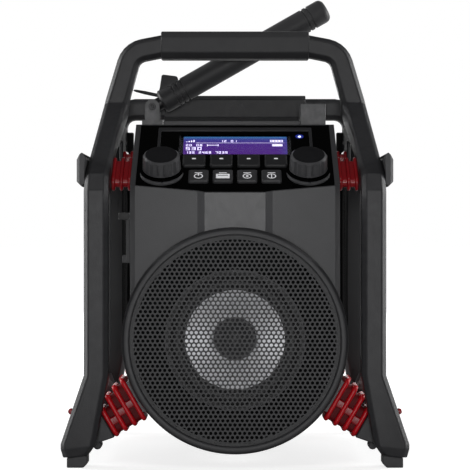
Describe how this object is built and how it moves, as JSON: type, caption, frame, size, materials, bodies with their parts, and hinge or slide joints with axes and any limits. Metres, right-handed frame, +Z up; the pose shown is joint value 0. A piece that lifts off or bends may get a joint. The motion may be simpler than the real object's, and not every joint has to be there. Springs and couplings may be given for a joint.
{
  "type": "jobsite radio",
  "caption": "Radio body with sloped controls and a round grille, hung on red ribbed rubber dampers in a tubular roll cage with a carrying handle and a folding antenna.",
  "frame": {"origin": "on the ground under the middle of the cage's footprint", "axes": "+Z up, -Y out of the loudspeaker's front, +X to the right as seen from the front"},
  "size_m": [0.2626, 0.231, 0.3787],
  "materials": {
    "cage_plastic": "fine-grained black moulding, satin",
    "body_plastic": "fine-grained charcoal moulding, satin",
    "panel_gloss": "polished black",
    "rubber_black": "matt, slightly grained",
    "rubber_red": "matt red, ribbed",
    "key_plastic": "satin",
    "ring_plastic": "satin",
    "grille_metal": "punched sheet, black powder coat",
    "lens": "clear",
    "display": "back-lit violet-blue",
    "led": "lit",
    "board": "solder-masked board",
    "steel": "plated",
    "basket_metal": "stamped, black",
    "cone_silver": "silver coating, satin",
    "cap_black": "satin",
    "magnet": "ferrite and plated steel",
    "battery": "wrapped cells in a tray"
  },
  "bodies": {
    "radio": {"front_leg_left": "cage_plastic", "front_leg_right": "cage_plastic", "rear_leg_left": "cage_plastic", "rear_leg_right": "cage_plastic", "side_rail_left": "cage_plastic", "side_rail_right": "cage_plastic", "handle_hoop": "cage_plastic", "rear_bar": "cage_plastic", "lower_rail_left": "cage_plastic", "lower_rail_right": "cage_plastic", "antenna_bracket": "cage_plastic", "antenna_clip": "cage_plastic", "side_bumper_left": "rubber_black", "side_bumper_right": "rubber_black", "handle_grip": "rubber_black", "rear_bar_pad": "rubber_black", "rubber_feet": "rubber_black", "speaker_surround": "rubber_black", "damper_upper_left": "rubber_red", "damper_upper_right": "rubber_red", "damper_lower_left": "rubber_red", "damper_lower_right": "rubber_red", "damper_rear_upper": "rubber_red", "damper_rear_lower": "rubber_red", "front_housing": "body_plastic", "rear_housing": "body_plastic", "housing_screws": "steel", "knob_encoders": "steel", "battery_door_pin": "steel", "socket_cover_pin": "steel", "antenna_pivot": "steel", "control_panel": "panel_gloss", "socket_block": "panel_gloss", "display_lens": "lens", "display_module": "display", "status_led": "led", "main_board": "board", "speaker_ring": "ring_plastic", "speaker_grille": "grille_metal", "speaker_basket": "basket_metal", "speaker_cone": "cone_silver", "speaker_dust_cap": "cap_black", "speaker_magnet": "magnet", "battery_pack": "battery"},
    "volume_control": {"volume_knob": "key_plastic", "volume_shaft": "steel"},
    "tuning_control": {"tuning_knob": "key_plastic", "tuning_shaft": "steel"},
    "preset_key_1": {"preset_button_1": "key_plastic"},
    "preset_key_2": {"preset_button_2": "key_plastic"},
    "preset_key_3": {"preset_button_3": "key_plastic"},
    "preset_key_4": {"preset_button_4": "key_plastic"},
    "function_key_1": {"function_button_1": "key_plastic"},
    "function_key_2": {"function_button_2": "key_plastic"},
    "function_key_3": {"function_button_3": "key_plastic"},
    "function_key_4": {"function_button_4": "key_plastic"},
    "antenna": {"antenna_knuckle": "steel", "antenna_whip": "rubber_black"},
    "battery_door_leaf": {"battery_door": "body_plastic"},
    "socket_flap": {"socket_cover": "rubber_black"}
  },
  "joints": [
    {"name": "volume_turn", "type": "hinge", "parent": "radio", "child": "volume_control", "pos_m": [-0.0565, -0.08051, 0.22357], "axis": [0, -0.5476, 0.8368], "continuous": true},
    {"name": "tuning_turn", "type": "hinge", "parent": "radio", "child": "tuning_control", "pos_m": [0.0565, -0.08051, 0.22357], "axis": [0, -0.5476, 0.8368], "continuous": true},
    {"name": "preset_1_press", "type": "slide", "parent": "radio", "child": "preset_key_1", "axis": [0, 0.5476, -0.8368], "range_m": [0, 0.0012], "stiffness_N_per_m": 700, "springref_m": -0.0006},
    {"name": "preset_2_press", "type": "slide", "parent": "radio", "child": "preset_key_2", "axis": [0, 0.5476, -0.8368], "range_m": [0, 0.0012], "stiffness_N_per_m": 700, "springref_m": -0.0006},
    {"name": "preset_3_press", "type": "slide", "parent": "radio", "child": "preset_key_3", "axis": [0, 0.5476, -0.8368], "range_m": [0, 0.0012], "stiffness_N_per_m": 700, "springref_m": -0.0006},
    {"name": "preset_4_press", "type": "slide", "parent": "radio", "child": "preset_key_4", "axis": [0, 0.5476, -0.8368], "range_m": [0, 0.0012], "stiffness_N_per_m": 700, "springref_m": -0.0006},
    {"name": "function_1_press", "type": "slide", "parent": "radio", "child": "function_key_1", "axis": [0, 0.5476, -0.8368], "range_m": [0, 0.0012], "stiffness_N_per_m": 700, "springref_m": -0.0006},
    {"name": "function_2_press", "type": "slide", "parent": "radio", "child": "function_key_2", "axis": [0, 0.5476, -0.8368], "range_m": [0, 0.0012], "stiffness_N_per_m": 700, "springref_m": -0.0006},
    {"name": "function_3_press", "type": "slide", "parent": "radio", "child": "function_key_3", "axis": [0, 0.5476, -0.8368], "range_m": [0, 0.0012], "stiffness_N_per_m": 700, "springref_m": -0.0006},
    {"name": "function_4_press", "type": "slide", "parent": "radio", "child": "function_key_4", "axis": [0, 0.5476, -0.8368], "range_m": [0, 0.0012], "stiffness_N_per_m": 700, "springref_m": -0.0006},
    {"name": "antenna_swing", "type": "hinge", "parent": "radio", "child": "antenna", "pos_m": [-0.0713, 0.0745, 0.286], "axis": [0, -1, 0], "range_deg": [-29.6, 60.4]},
    {"name": "battery_door_swing", "type": "hinge", "parent": "radio", "child": "battery_door_leaf", "pos_m": [0, 0.0915, 0.05], "axis": [-1, 0, 0], "range_deg": [0, 110]},
    {"name": "socket_flap_swing", "type": "hinge", "parent": "radio", "child": "socket_flap", "pos_m": [-0.0866, -0.0755, 0.1897], "axis": [0, 1, 0], "range_deg": [0, 100]}
  ]
}
